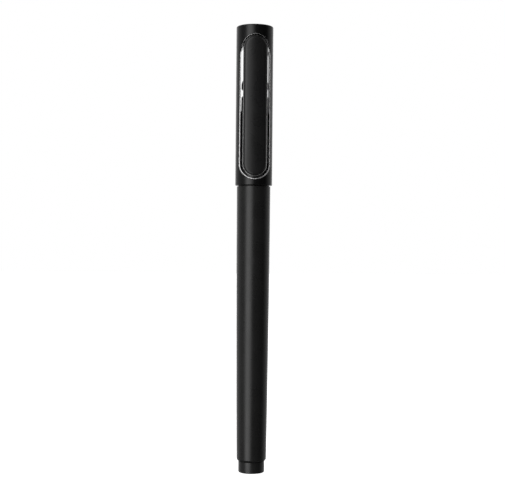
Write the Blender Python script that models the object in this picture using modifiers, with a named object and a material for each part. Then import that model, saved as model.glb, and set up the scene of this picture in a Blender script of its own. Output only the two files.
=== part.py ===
"""Capped technical pen, standing on its end plug with the cap on top.

The pen's axis is Z, the origin is the centre of the end plug's flat face, and
the clip faces -Y. All named sizes are in millimetres; a radius is R, a height
above the plug's face is Z. Blender's units are metres, so MM scales them.

run: blender --background --python part.py
"""

import math

import bmesh
import bpy
from mathutils import Matrix

MM = 0.001
OBJECT_NAME = "technical_pen"

# ---- driving dimensions -------------------------------------------------
LENGTH = 142.0
CAP_R = 5.88
RIM_Z = 91.3
BARREL_TOP_R = 5.35
BARREL_SIDE = ((5.2, 54.8), (4.93, 22.9))
BARREL_END_R = 4.71
BARREL_END_Z = 4.3
PLUG_R = 4.16
PLUG_HEAD = 3.55

# ---- fits ---------------------------------------------------------------
PRESS_GAP = 0.06
SLIDE_GAP = 0.10
FACE_GAP = 0.15

# ---- facets of the turned pieces ----------------------------------------
OUTER_STEPS = 40
INNER_STEPS = 24
SMALL_STEPS = 16
STADIUM_FACETS = 18
CROWN_FACETS = 96
HOLLOW_FACETS = 64

# ---- barrel and end plug ------------------------------------------------
BARREL_Z0 = PLUG_HEAD + FACE_GAP
RIM_GAP = 0.3
BARREL_Z1 = RIM_Z - RIM_GAP
BARREL_FOOT_R = 4.30
BARREL_BORE_R = 3.55
SOCKET_R = 4.05
SOCKET_Z0 = 79.5
SOCKET_TAPER = 0.5
PLUG_SPIGOT_R = BARREL_BORE_R - PRESS_GAP
PLUG_TOP_Z = 10.0
PLUG_CORE_R = 2.6
PLUG_FLOOR = 1.2
PLUG_EDGE = 0.35
PLUG_LEAD_R = 0.2
PLUG_LEAD_Z = 0.4

# ---- grip section -------------------------------------------------------
SPIGOT_R = SOCKET_R - SLIDE_GAP
SPIGOT_Z0 = 79.9
COLLAR_Z0 = BARREL_Z1 + FACE_GAP
COLLAR_Z1 = 92.8
COLLAR_R = 4.88
COLLAR_SEAL_Z = 92.0
COLLAR_SEAL_R = 4.71
COLLAR_SEAL_WIRE = 0.28
GRIP_R = 4.10
GRIP_NOSE_R = 3.60
GRIP_TAPER_Z = 98.0
GRIP_NOSE_Z = 108.5
GRIP_GROOVES = 6
GRIP_GROOVE_Z0 = 99.2
GRIP_GROOVE_PITCH = 1.3
GRIP_GROOVE_DEPTH = 0.14
REAR_BORE_R = 3.3
REAR_BORE_Z1 = 93.6
REAR_BORE_TAPER = 0.4
GRIP_NOSE_EDGE_R = 0.2
GRIP_NOSE_EDGE_Z = 0.4
NIB_BORE_R = 2.75
RING_Z0 = GRIP_NOSE_Z + 0.15
RING_Z1 = 110.55

# ---- nib unit -----------------------------------------------------------
NIB_R = NIB_BORE_R - 0.13
NIB_Z0 = 95.2
NIB_FLANGE_R = 3.0
NIB_FLANGE_Z0 = RING_Z1 + 0.12
NIB_FLANGE_Z1 = 111.8
NIB_SPIGOT_R = 1.0
NIB_SPIGOT_Z = 113.0
NIB_WELL_R = 1.25
NIB_WELL_Z1 = 109.8
VENT_GROOVES = 5
VENT_Z0 = 96.2
VENT_PITCH = 1.2
VENT_ROOT_R = 2.0
NIB_SEAL_Z = 104.4
NIB_SEAL_R = 2.45
NIB_SEAL_WIRE = 0.25
CONE_R = 1.75
CONE_RIM = 0.6
CONE_TIP_R = 0.8
CONE_TIP_FLARE = 0.25
CONE_TIP_LENGTH = 0.6
CONE_Z0 = NIB_FLANGE_Z1 + 0.1
CONE_Z1 = 115.8
TUBE_R = 0.38
TUBE_BORE_R = 0.22
TUBE_HOLE_R = TUBE_R + 0.06
TUBE_Z0 = 110.2
TUBE_Z1 = 118.4
RETAINER_R = NIB_WELL_R - 0.08
RETAINER_HEAD_R = 2.2
RETAINER_HOLE_R = 0.35
RETAINER_Z0 = 94.5
RETAINER_Z1 = 97.6
WEIGHT_R = 1.0
WEIGHT_Z0 = 98.0
WEIGHT_Z1 = 104.0
WIRE_R = 0.12
WIRE_Z1 = 116.4

# ---- ink cartridge ------------------------------------------------------
INK_R = BARREL_BORE_R - 0.25
INK_BORE_R = 3.0
INK_Z0 = 26.0
INK_SHOULDER_Z = SPIGOT_Z0 - 0.3
INK_SHOULDER_HALF = 0.1
INK_THROAT_Z0 = INK_SHOULDER_Z - 1.0
INK_THROAT_Z1 = INK_SHOULDER_Z - 0.6
INK_NECK_R = REAR_BORE_R - SLIDE_GAP
INK_NECK_BORE_R = 2.9
INK_NECK_Z1 = 93.0
INK_PLUG_HEAD = 0.6
INK_PLUG_Z1 = 30.0
INK_PLUG_CORE_R = 2.3
INK_PLUG_FLOOR = 0.6
INK_PLUG_GAP = 0.05

# ---- cap ----------------------------------------------------------------
CAP_BORE_R = 5.05
CAP_CEILING_Z = 141.1
CAP_EDGE = 0.40
RIM_EDGE = 0.30
WINDOW_R = 4.60
WINDOW_Z0 = 97.88
WINDOW_Z1 = 132.2
CORE_R = CAP_BORE_R - PRESS_GAP
CORE_Z0 = 134.1
CORE_Z1 = CAP_CEILING_Z - 0.1

# ---- clip ---------------------------------------------------------------
CLIP_R = 3.86
CLIP_Z0 = 97.92
CLIP_Z1 = 134.62
CLIP_CREST_Y = 6.08
CLIP_CROWN_R = 13.0
CLIP_BACK_Y = 4.40
CLIP_HOLLOW_R = 5.15
CLIP_GAP = 0.36
CLIP_SEAT_Y = 4.1
CLIP_SEAT_Z0 = 118.0
CLIP_ROOT_X = 1.5
CLIP_ROOT_Y = 1.4
CLIP_ROOT_OVERLAP = 0.4
CLIP_ROOT_Z0 = 137.5
CLIP_ROOT_Z1 = 138.2
CLIP_ROOT_GAP = 0.3
CLIP_HINGE_Y = 3.4
CLIP_HINGE_Z = 137.85
CUTTER_REACH = 2.0

# ---- inner cap, with its seal -------------------------------------------
LINER_R = CAP_BORE_R - 0.05
LINER_BORE_R = 4.45
LINER_Z0 = COLLAR_Z1 + 0.2
LINER_SHOULDER_Z = 113.4
DOME_R = 4.10
DOME_FOOT_R = 4.20
DOME_Z0 = 123.3
DOME_Z1 = 126.8
WAIST_R = 3.75
WAIST_Z0 = 120.0
WAIST_Z1 = 121.6
GUIDE_R = 3.35
GUIDE_LEDGE_R = 3.20
GUIDE_Z1 = 124.0
GUIDE_CEILING_Z = 125.9
GUIDE_CEILING_EDGE = 0.4
GUIDE_CEILING_R = 0.7 * GUIDE_R
DOME_ARC_POINTS = 7
WAIST_UPPER_SLOPE = 0.5
WAIST_LOWER_SLOPE = 0.6
SHOULDER_SLOPE = 1.4
LINER_THROAT = 1.0
GUIDE_LEDGE_HEIGHT = 0.8
GUIDE_LEDGE_SLOPE = 0.15
PLUNGER_R = GUIDE_R - 0.06
PLUNGER_SKIRT_R = 3.08
PLUNGER_BORE_R = 2.6
PLUNGER_Z0 = 113.0
PLUNGER_COLLAR_Z = 118.0
PLUNGER_ROOF_Z = 119.3
PLUNGER_Z1 = 120.4
PLUNGER_EDGE = 0.2
LIP_Z0 = NIB_FLANGE_Z1 + 0.1
LIP_R = PLUNGER_SKIRT_R - 0.04
LIP_GAP = 0.05
SPRING_R = 1.7
SPRING_WIRE_R = 0.2
SPRING_TURNS = 4.5
SPRING_POINTS_PER_TURN = 10
SPRING_SEAT_GAP = 0.06

# ---- colours (linear) ---------------------------------------------------
SATIN_BLACK = (0.012, 0.012, 0.013)
GLOSS_BLACK = (0.006, 0.006, 0.007)
SEAL_BLACK = (0.02, 0.02, 0.02)
STEEL = (0.55, 0.55, 0.56)
RING_WHITE = (0.75, 0.75, 0.74)
NIB_GREY = (0.18, 0.18, 0.19)
CLEAR_GREY = (0.62, 0.64, 0.66)


def clear_scene():
    """Remove every object of the open scene."""
    for item in list(bpy.data.objects):
        bpy.data.objects.remove(item, do_unlink=True)


def make_collection(name):
    """A new collection, linked to the scene."""
    collection = bpy.data.collections.new(name)
    bpy.context.scene.collection.children.link(collection)
    return collection


def make_material(name, color, roughness, metallic=0.0):
    """A Principled material of one colour."""
    material = bpy.data.materials.new(name)
    material.use_nodes = True
    shader = material.node_tree.nodes["Principled BSDF"]
    shader.inputs["Base Color"].default_value = (*color, 1.0)
    shader.inputs["Roughness"].default_value = roughness
    shader.inputs["Metallic"].default_value = metallic
    return material


def body_empty(name, collection, parent=None, place=(0.0, 0.0, 0.0)):
    """An empty on a body's joint axis, which the body's pieces hang from."""
    empty = bpy.data.objects.new(name, None)
    empty.empty_display_size = 5.0 * MM
    empty.location = [value * MM for value in place]
    empty.parent = parent
    collection.objects.link(empty)
    return empty


def link_mesh(name, mesh, collection, parent=None, material=None):
    """Make an object of a mesh, hung from a body's empty."""
    item = bpy.data.objects.new(name, mesh)
    collection.objects.link(item)
    item.parent = parent
    if material is not None:
        mesh.materials.append(material)
    return item


def profile_mesh(name, points, closed):
    """The half section of a turned piece, as edges in the XZ plane."""
    shape = bmesh.new()
    verts = [shape.verts.new((r * MM, 0.0, z * MM)) for r, z in points]
    for first, second in zip(verts, verts[1:]):
        shape.edges.new((first, second))
    if closed:
        shape.edges.new((verts[-1], verts[0]))
    mesh = bpy.data.meshes.new(name)
    shape.to_mesh(mesh)
    shape.free()
    return mesh


def turned(name, points, steps, collection, parent, material):
    """Turn a profile of (radius, height) points about the pen's axis.

    The points run down the outer side. A profile that starts on the axis
    also ends there; any other one is closed into a ring.
    """
    closed = points[0][0] > 0.0
    mesh = profile_mesh(name, points, closed)
    item = link_mesh(name, mesh, collection, parent, material)
    screw = item.modifiers.new("turn", "SCREW")
    screw.axis = "Z"
    screw.angle = 2.0 * math.pi
    screw.steps = steps
    screw.render_steps = steps
    screw.use_merge_vertices = True
    screw.merge_threshold = 0.001 * MM
    screw.use_smooth_shade = True
    weld = item.modifiers.new("weld", "WELD")
    weld.merge_threshold = 0.001 * MM
    return item


def arc(centre_r, centre_z, radius, start, end, count):
    """Points of an arc in the half section, angles in degrees from +X."""
    angles = [start + (end - start) * i / (count - 1) for i in range(count)]
    return [
        (
            centre_r + radius * math.cos(math.radians(angle)),
            centre_z + radius * math.sin(math.radians(angle)),
        )
        for angle in angles
    ]


def seal_ring(name, radius, height, wire, collection, parent, material):
    """A rubber ring of round section."""
    section = arc(radius, height, wire, 90.0, -225.0, 8)
    return turned(name, section, INNER_STEPS, collection, parent, material)


def grooves(start_z, count, pitch, depth, radius_at):
    """Shallow V grooves down a side whose radius is radius_at(z)."""
    points = []
    for index in reversed(range(count)):
        z = start_z + index * pitch
        for offset, cut in ((0.3, 0.0), (0.0, depth), (-0.3, 0.0)):
            points.append((radius_at(z + offset * pitch) - cut, z + offset * pitch))
    return points


def stadium_prism(name, radius, z0, z1, y0, y1, collection):
    """A racetrack outline in the XZ plane, extruded from y0 to y1."""
    count = STADIUM_FACETS
    outline = []
    for centre, first in ((z1, 0.0), (z0, 180.0)):
        for index in range(count + 1):
            angle = math.radians(first + 180.0 * index / count)
            outline.append((radius * math.cos(angle), centre + radius * math.sin(angle)))
    shape = bmesh.new()
    ring = [shape.verts.new((x * MM, y0 * MM, z * MM)) for x, z in outline]
    face = shape.faces.new(ring)
    extruded = bmesh.ops.extrude_face_region(shape, geom=[face])
    moved = [v for v in extruded["geom"] if isinstance(v, bmesh.types.BMVert)]
    bmesh.ops.translate(shape, verts=moved, vec=(0.0, (y1 - y0) * MM, 0.0))
    bmesh.ops.recalc_face_normals(shape, faces=shape.faces)
    mesh = bpy.data.meshes.new(name)
    shape.to_mesh(mesh)
    shape.free()
    return link_mesh(name, mesh, collection)


def box(name, low, high, collection):
    """A box between two corners."""
    shape = bmesh.new()
    bmesh.ops.create_cube(shape, size=MM)
    size = [high[i] - low[i] for i in range(3)]
    middle = [(high[i] + low[i]) / 2.0 * MM for i in range(3)]
    bmesh.ops.scale(shape, verts=shape.verts, vec=size)
    bmesh.ops.translate(shape, verts=shape.verts, vec=middle)
    mesh = bpy.data.meshes.new(name)
    shape.to_mesh(mesh)
    shape.free()
    return link_mesh(name, mesh, collection)


def post(name, radius, centre_y, z0, z1, segments, collection):
    """An upright cylinder whose axis is at x = 0, y = centre_y."""
    shape = bmesh.new()
    bmesh.ops.create_cone(
        shape,
        cap_ends=True,
        segments=segments,
        radius1=radius * MM,
        radius2=radius * MM,
        depth=(z1 - z0) * MM,
    )
    centre = (0.0, centre_y * MM, (z0 + z1) / 2.0 * MM)
    bmesh.ops.translate(shape, verts=shape.verts, vec=centre)
    mesh = bpy.data.meshes.new(name)
    shape.to_mesh(mesh)
    shape.free()
    return link_mesh(name, mesh, collection)


def boolean(item, other, operation):
    """Cut, join or intersect an object with a hidden helper object."""
    other.hide_render = True
    other.display_type = "WIRE"
    step = item.modifiers.new(other.name, "BOOLEAN")
    step.operation = operation
    step.solver = "EXACT"
    step.object = other


def move_origin(item, place):
    """Shift an object's origin to a place, leaving its shape where it is."""
    offset = Matrix.Translation([-value * MM for value in place])
    item.data.transform(offset)
    item.location = [value * MM for value in place]


def make_barrel(collection, parent, materials):
    """The tapered tube, with a wider socket for the section at its top."""
    points = [
        (BARREL_TOP_R, BARREL_Z1),
        *BARREL_SIDE,
        (BARREL_END_R, BARREL_END_Z),
        (BARREL_FOOT_R, BARREL_Z0),
        (BARREL_BORE_R, BARREL_Z0),
        (BARREL_BORE_R, SOCKET_Z0 - SOCKET_TAPER),
        (SOCKET_R, SOCKET_Z0),
        (SOCKET_R, BARREL_Z1),
    ]
    turned("barrel", points, OUTER_STEPS, collection, parent, materials["satin"])


def make_end_plug(collection, parent, materials):
    """The plug that closes the barrel's rear; its face is what the pen stands on."""
    corner = arc(PLUG_R - PLUG_EDGE, PLUG_EDGE, PLUG_EDGE, 0.0, -90.0, 4)
    points = [
        (0.0, PLUG_FLOOR),
        (PLUG_CORE_R, PLUG_FLOOR),
        (PLUG_CORE_R, PLUG_TOP_Z),
        (PLUG_SPIGOT_R - PLUG_LEAD_R, PLUG_TOP_Z),
        (PLUG_SPIGOT_R, PLUG_TOP_Z - PLUG_LEAD_Z),
        (PLUG_SPIGOT_R, PLUG_HEAD),
        (PLUG_R, PLUG_HEAD),
        *corner,
        (0.0, 0.0),
    ]
    turned("end_plug", points, OUTER_STEPS, collection, parent, materials["satin"])


def grip_radius(z):
    """The section's outer radius between its collar and its nose."""
    share = max(0.0, (z - GRIP_TAPER_Z) / (GRIP_NOSE_Z - GRIP_TAPER_Z))
    return GRIP_R + share * (GRIP_NOSE_R - GRIP_R)


def make_grip_section(collection, parent, materials):
    """The holder between barrel and nib, with finger grooves and a collar."""
    seat = COLLAR_SEAL_R - COLLAR_SEAL_WIRE - 0.03
    groove_half = COLLAR_SEAL_WIRE + 0.05
    finger = grooves(
        GRIP_GROOVE_Z0, GRIP_GROOVES, GRIP_GROOVE_PITCH, GRIP_GROOVE_DEPTH, grip_radius
    )
    points = [
        (NIB_BORE_R, GRIP_NOSE_Z),
        (GRIP_NOSE_R - GRIP_NOSE_EDGE_R, GRIP_NOSE_Z),
        (grip_radius(GRIP_NOSE_Z - GRIP_NOSE_EDGE_Z), GRIP_NOSE_Z - GRIP_NOSE_EDGE_Z),
        *finger,
        (GRIP_R, GRIP_TAPER_Z),
        (GRIP_R, COLLAR_Z1),
        (COLLAR_R, COLLAR_Z1),
        (COLLAR_R, COLLAR_SEAL_Z + groove_half),
        (seat, COLLAR_SEAL_Z + groove_half),
        (seat, COLLAR_SEAL_Z - groove_half),
        (COLLAR_R, COLLAR_SEAL_Z - groove_half),
        (COLLAR_R, COLLAR_Z0),
        (SPIGOT_R, COLLAR_Z0),
        (SPIGOT_R, SPIGOT_Z0),
        (REAR_BORE_R, SPIGOT_Z0),
        (REAR_BORE_R, REAR_BORE_Z1),
        (NIB_BORE_R, REAR_BORE_Z1 + REAR_BORE_TAPER),
    ]
    turned("grip_section", points, INNER_STEPS, collection, parent, materials["satin"])
    seal_ring(
        "collar_seal",
        COLLAR_SEAL_R,
        COLLAR_SEAL_Z,
        COLLAR_SEAL_WIRE,
        collection,
        parent,
        materials["rubber"],
    )


def make_colour_ring(collection, parent, materials):
    """The line-width ring clamped between section and nib flange."""
    outer = GRIP_NOSE_R - 0.1
    points = [
        (NIB_BORE_R, RING_Z1),
        (outer - 0.1, RING_Z1),
        (outer, RING_Z1 - 0.15),
        (outer, RING_Z0),
        (NIB_BORE_R, RING_Z0),
    ]
    turned("colour_ring", points, INNER_STEPS, collection, parent, materials["ring"])


def make_nib_body(collection, parent, materials):
    """The screwed nib unit: flange, seal groove, and vent grooves at its rear."""
    vents = []
    for index in reversed(range(VENT_GROOVES)):
        z = VENT_Z0 + index * VENT_PITCH
        vents += [
            (NIB_R, z + 0.3 * VENT_PITCH),
            (VENT_ROOT_R, z + 0.2 * VENT_PITCH),
            (VENT_ROOT_R, z - 0.2 * VENT_PITCH),
            (NIB_R, z - 0.3 * VENT_PITCH),
        ]
    seat = NIB_SEAL_R - NIB_SEAL_WIRE - 0.02
    groove_half = NIB_SEAL_WIRE + 0.05
    points = [
        (TUBE_HOLE_R, NIB_SPIGOT_Z),
        (NIB_SPIGOT_R, NIB_SPIGOT_Z),
        (NIB_SPIGOT_R, NIB_FLANGE_Z1),
        (NIB_FLANGE_R, NIB_FLANGE_Z1),
        (NIB_FLANGE_R, NIB_FLANGE_Z0),
        (NIB_R, NIB_FLANGE_Z0),
        (NIB_R, NIB_SEAL_Z + groove_half),
        (seat, NIB_SEAL_Z + groove_half),
        (seat, NIB_SEAL_Z - groove_half),
        (NIB_R, NIB_SEAL_Z - groove_half),
        *vents,
        (NIB_R, NIB_Z0),
        (NIB_WELL_R, NIB_Z0),
        (NIB_WELL_R, NIB_WELL_Z1),
        (TUBE_HOLE_R, NIB_WELL_Z1 + 0.4),
    ]
    turned("nib_body", points, INNER_STEPS, collection, parent, materials["nib"])
    seal_ring(
        "nib_seal_ring",
        NIB_SEAL_R,
        NIB_SEAL_Z,
        NIB_SEAL_WIRE,
        collection,
        parent,
        materials["rubber"],
    )


def make_nib_cone(collection, parent, materials):
    """The metal nose around the writing tube."""
    points = [
        (TUBE_HOLE_R, CONE_Z1),
        (CONE_TIP_R, CONE_Z1),
        (CONE_TIP_R + CONE_TIP_FLARE, CONE_Z1 - CONE_TIP_LENGTH),
        (CONE_R, CONE_Z0 + CONE_RIM),
        (CONE_R, CONE_Z0),
        (NIB_SPIGOT_R + 0.08, CONE_Z0),
        (NIB_SPIGOT_R + 0.08, NIB_SPIGOT_Z + 0.15),
        (TUBE_HOLE_R, NIB_SPIGOT_Z + 0.15),
    ]
    turned("nib_cone", points, INNER_STEPS, collection, parent, materials["steel"])


def make_nib_tube(collection, parent, materials):
    """The fine steel tube that writes."""
    points = [
        (TUBE_BORE_R, TUBE_Z1),
        (TUBE_R, TUBE_Z1),
        (TUBE_R, TUBE_Z0),
        (TUBE_BORE_R, TUBE_Z0),
    ]
    turned("nib_tube", points, SMALL_STEPS, collection, parent, materials["steel"])


def make_retaining_plug(collection, parent, materials):
    """The plug that keeps the drop weight in the nib; ink passes through it."""
    shoulder = NIB_Z0 - 0.1
    points = [
        (RETAINER_HOLE_R, RETAINER_Z1),
        (RETAINER_R, RETAINER_Z1),
        (RETAINER_R, shoulder),
        (RETAINER_HEAD_R, shoulder),
        (RETAINER_HEAD_R, RETAINER_Z0),
        (RETAINER_HOLE_R, RETAINER_Z0),
    ]
    turned("retaining_plug", points, SMALL_STEPS, collection, parent, materials["nib"])


def make_drop_weight(collection, parent, materials):
    """The weight that shakes the cleaning wire through the tube."""
    points = [
        (0.0, WEIGHT_Z1),
        (WEIGHT_R - 0.25, WEIGHT_Z1),
        (WEIGHT_R, WEIGHT_Z1 - 0.3),
        (WEIGHT_R, WEIGHT_Z0 + 0.3),
        (WEIGHT_R - 0.25, WEIGHT_Z0),
        (0.0, WEIGHT_Z0),
    ]
    turned("drop_weight", points, SMALL_STEPS, collection, parent, materials["steel"])
    wire_foot = WEIGHT_Z1 + 0.05
    wire = [
        (0.0, WIRE_Z1),
        (WIRE_R, WIRE_Z1 - 0.1),
        (WIRE_R, wire_foot),
        (0.0, wire_foot),
    ]
    turned("cleaning_wire", wire, SMALL_STEPS // 2, collection, parent, materials["steel"])


def make_cartridge(collection, parent, materials):
    """The ink tube, whose neck plugs into the section, and its rear stopper."""
    points = [
        (INK_NECK_BORE_R, INK_NECK_Z1),
        (INK_NECK_R, INK_NECK_Z1),
        (INK_NECK_R, INK_SHOULDER_Z + INK_SHOULDER_HALF),
        (INK_R, INK_SHOULDER_Z - INK_SHOULDER_HALF),
        (INK_R, INK_Z0),
        (INK_BORE_R, INK_Z0),
        (INK_BORE_R, INK_THROAT_Z0),
        (INK_NECK_BORE_R, INK_THROAT_Z1),
    ]
    turned("ink_cartridge", points, INNER_STEPS, collection, parent, materials["clear"])
    spigot = INK_BORE_R - PRESS_GAP
    head_z = INK_Z0 - INK_PLUG_GAP
    stopper = [
        (0.0, INK_Z0 + INK_PLUG_FLOOR),
        (INK_PLUG_CORE_R, INK_Z0 + INK_PLUG_FLOOR),
        (INK_PLUG_CORE_R, INK_PLUG_Z1),
        (spigot, INK_PLUG_Z1),
        (spigot, head_z),
        (INK_R, head_z),
        (INK_R, head_z - INK_PLUG_HEAD),
        (0.0, head_z - INK_PLUG_HEAD),
    ]
    turned("cartridge_plug", stopper, INNER_STEPS, collection, parent, materials["clear"])


def window_cutter(collection):
    """The racetrack hole through both walls of the cap."""
    reach = CAP_R + CUTTER_REACH
    return stadium_prism(
        "window_cutter", WINDOW_R, WINDOW_Z0, WINDOW_Z1, -reach, reach, collection
    )


def clip_seat_cutter(collection):
    """The recess at the top of the window that takes the clip's head."""
    return stadium_prism(
        "clip_seat_cutter",
        CLIP_R + CLIP_GAP,
        CLIP_SEAT_Z0,
        CLIP_Z1,
        -CAP_R - CUTTER_REACH,
        -CLIP_SEAT_Y,
        collection,
    )


def root_slot_cutter(collection):
    """The slot in the core that holds the clip's root, with room to flex."""
    return box(
        "root_slot_cutter",
        (-CLIP_ROOT_X - CLIP_ROOT_GAP, -CAP_R - CUTTER_REACH, CLIP_ROOT_Z0 - CLIP_ROOT_GAP),
        (CLIP_ROOT_X + CLIP_ROOT_GAP, CLIP_ROOT_GAP - CLIP_ROOT_Y, CLIP_ROOT_Z1 + CLIP_ROOT_GAP),
        collection,
    )


def make_cap_shell(collection, parent, materials, window, seat):
    """The cap's cylinder, closed at the top, with its racetrack window."""
    top = arc(CAP_R - CAP_EDGE, LENGTH - CAP_EDGE, CAP_EDGE, 90.0, 0.0, 4)
    rim = arc(CAP_R - RIM_EDGE, RIM_Z + RIM_EDGE, RIM_EDGE, 0.0, -90.0, 4)
    points = [
        (0.0, LENGTH),
        *top,
        *rim,
        (CAP_BORE_R, RIM_Z),
        (CAP_BORE_R, CAP_CEILING_Z),
        (0.0, CAP_CEILING_Z),
    ]
    shell = turned("cap_shell", points, OUTER_STEPS, collection, parent, materials["cap"])
    boolean(shell, window, "DIFFERENCE")
    boolean(shell, seat, "DIFFERENCE")


def make_cap_core(collection, parent, materials, cutters):
    """The insert under the cap's top, arched like the window, holding the clip."""
    points = [(0.0, CORE_Z1), (CORE_R, CORE_Z1), (CORE_R, CORE_Z0), (0.0, CORE_Z0)]
    core = turned("cap_core", points, OUTER_STEPS, collection, parent, materials["gloss"])
    for cutter in cutters:
        boolean(core, cutter, "DIFFERENCE")


def make_clip(collection, parent, materials, cutters):
    """The crowned racetrack tongue and the root that carries it."""
    front = -CAP_R - CUTTER_REACH
    clip = stadium_prism("cap_clip", CLIP_R, CLIP_Z0, CLIP_Z1, front, -CLIP_BACK_Y, collection)
    clip.data.materials.append(materials["satin"])
    clip.parent = parent
    low = CLIP_Z0 - CLIP_R - CUTTER_REACH
    high = CLIP_Z1 + CLIP_R + CUTTER_REACH
    crown_y = CLIP_CROWN_R - CLIP_CREST_Y
    crown = post("clip_crown", CLIP_CROWN_R, crown_y, low, high, CROWN_FACETS, cutters)
    root = box(
        "clip_root",
        (-CLIP_ROOT_X, -CLIP_BACK_Y - CLIP_ROOT_OVERLAP, CLIP_ROOT_Z0),
        (CLIP_ROOT_X, -CLIP_ROOT_Y, CLIP_ROOT_Z1),
        cutters,
    )
    hollow = post("clip_hollow", CLIP_HOLLOW_R, 0.0, low, CLIP_Z1, HOLLOW_FACETS, cutters)
    move_origin(clip, (0.0, -CLIP_HINGE_Y, CLIP_HINGE_Z))
    boolean(clip, crown, "INTERSECT")
    boolean(clip, hollow, "DIFFERENCE")
    boolean(clip, root, "UNION")


def make_inner_cap(collection, parent, materials):
    """The domed liner that seals the nib, with a guide bore for the plunger."""
    points = [(0.0, DOME_Z1)]
    for index in range(1, DOME_ARC_POINTS):
        angle = math.radians(90.0 - 90.0 * index / (DOME_ARC_POINTS - 1))
        points.append(
            (
                DOME_R * math.cos(angle),
                DOME_Z0 + (DOME_Z1 - DOME_Z0) * math.sin(angle),
            )
        )
    points += [
        (DOME_R, WAIST_Z1 + WAIST_UPPER_SLOPE),
        (WAIST_R, WAIST_Z1),
        (WAIST_R, WAIST_Z0),
        (DOME_R, WAIST_Z0 - WAIST_LOWER_SLOPE),
        (DOME_FOOT_R, LINER_SHOULDER_Z + SHOULDER_SLOPE),
        (LINER_R, LINER_SHOULDER_Z),
        (LINER_R, LINER_Z0),
        (LINER_BORE_R, LINER_Z0),
        (LINER_BORE_R, LINER_SHOULDER_Z - LINER_THROAT),
        (GUIDE_LEDGE_R, LINER_SHOULDER_Z),
        (GUIDE_LEDGE_R, LINER_SHOULDER_Z + GUIDE_LEDGE_HEIGHT),
        (GUIDE_R, LINER_SHOULDER_Z + GUIDE_LEDGE_HEIGHT + GUIDE_LEDGE_SLOPE),
        (GUIDE_R, GUIDE_Z1),
        (GUIDE_CEILING_R, GUIDE_CEILING_Z - GUIDE_CEILING_EDGE),
        (0.0, GUIDE_CEILING_Z),
    ]
    turned("inner_cap", points, OUTER_STEPS, collection, parent, materials["gloss"])


def make_plunger(collection, parent, materials):
    """The sliding cup that covers the nib's point, and its rubber lip."""
    points = [
        (0.0, PLUNGER_Z1),
        (PLUNGER_R - PLUNGER_EDGE, PLUNGER_Z1),
        (PLUNGER_R, PLUNGER_Z1 - PLUNGER_EDGE),
        (PLUNGER_R, PLUNGER_COLLAR_Z),
        (PLUNGER_SKIRT_R, PLUNGER_COLLAR_Z - PLUNGER_EDGE),
        (PLUNGER_SKIRT_R, PLUNGER_Z0),
        (PLUNGER_BORE_R, PLUNGER_Z0),
        (PLUNGER_BORE_R, PLUNGER_ROOF_Z),
        (0.0, PLUNGER_ROOF_Z),
    ]
    turned("seal_plunger", points, INNER_STEPS, collection, parent, materials["nib"])
    lip_top = PLUNGER_Z0 - LIP_GAP
    lip = [
        (PLUNGER_BORE_R, lip_top),
        (LIP_R, lip_top),
        (LIP_R, LIP_Z0 + PLUNGER_EDGE),
        (LIP_R - PLUNGER_EDGE, LIP_Z0),
        (PLUNGER_BORE_R, LIP_Z0),
    ]
    turned("seal_lip", lip, INNER_STEPS, collection, parent, materials["rubber"])


def make_seal_spring(collection, parent, materials):
    """The coil between the plunger and the inner cap's dome."""
    low = PLUNGER_Z1 + SPRING_WIRE_R + SPRING_SEAT_GAP
    high = GUIDE_CEILING_Z - GUIDE_CEILING_EDGE - SPRING_WIRE_R
    count = int(SPRING_TURNS * SPRING_POINTS_PER_TURN) + 1
    curve = bpy.data.curves.new("seal_spring", "CURVE")
    curve.dimensions = "3D"
    curve.bevel_depth = SPRING_WIRE_R * MM
    curve.bevel_resolution = 2
    curve.use_fill_caps = True
    spline = curve.splines.new("POLY")
    spline.points.add(count - 1)
    for index, point in enumerate(spline.points):
        share = index / (count - 1)
        angle = 2.0 * math.pi * SPRING_TURNS * share
        x = SPRING_R * math.cos(angle)
        y = SPRING_R * math.sin(angle)
        z = low + (high - low) * share
        point.co = (x * MM, y * MM, z * MM, 1.0)
    curve.materials.append(materials["steel"])
    spring = bpy.data.objects.new("seal_spring", curve)
    spring.parent = parent
    collection.objects.link(spring)


def make_materials():
    """One material for each kind of stuff the pen is made of."""
    return {
        "cap": make_material("cap_black_anodised", SATIN_BLACK, 0.3),
        "satin": make_material("satin_black_plastic", SATIN_BLACK, 0.38),
        "gloss": make_material("gloss_black_plastic", GLOSS_BLACK, 0.12),
        "rubber": make_material("seal_rubber", SEAL_BLACK, 0.7),
        "steel": make_material("steel", STEEL, 0.25, 1.0),
        "ring": make_material("ring_white_plastic", RING_WHITE, 0.4),
        "nib": make_material("nib_grey_plastic", NIB_GREY, 0.35),
        "clear": make_material("cartridge_plastic", CLEAR_GREY, 0.2),
    }


def main():
    clear_scene()
    parts = make_collection(OBJECT_NAME)
    cutters = make_collection("cutters")
    materials = make_materials()

    pen = body_empty("pen", parts)
    section = body_empty("section_slide", parts, pen)
    cartridge = body_empty("cartridge_slide", parts, section)
    nib = body_empty("nib_thread", parts, section)
    weight = body_empty("weight_slide", parts, nib)
    cap = body_empty("cap_slide", parts, section)
    plunger = body_empty("plunger_slide", parts, cap)

    make_barrel(parts, pen, materials)
    make_end_plug(parts, pen, materials)
    make_grip_section(parts, section, materials)
    make_colour_ring(parts, section, materials)
    make_cartridge(parts, cartridge, materials)
    make_nib_body(parts, nib, materials)
    make_nib_cone(parts, nib, materials)
    make_nib_tube(parts, nib, materials)
    make_retaining_plug(parts, nib, materials)
    make_drop_weight(parts, weight, materials)

    window = window_cutter(cutters)
    seat = clip_seat_cutter(cutters)
    slot = root_slot_cutter(cutters)
    make_cap_shell(parts, cap, materials, window, seat)
    make_cap_core(parts, cap, materials, (window, seat, slot))
    make_clip(parts, cap, materials, cutters)
    make_inner_cap(parts, cap, materials)
    make_plunger(parts, plunger, materials)
    make_seal_spring(parts, cap, materials)


main()
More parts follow.
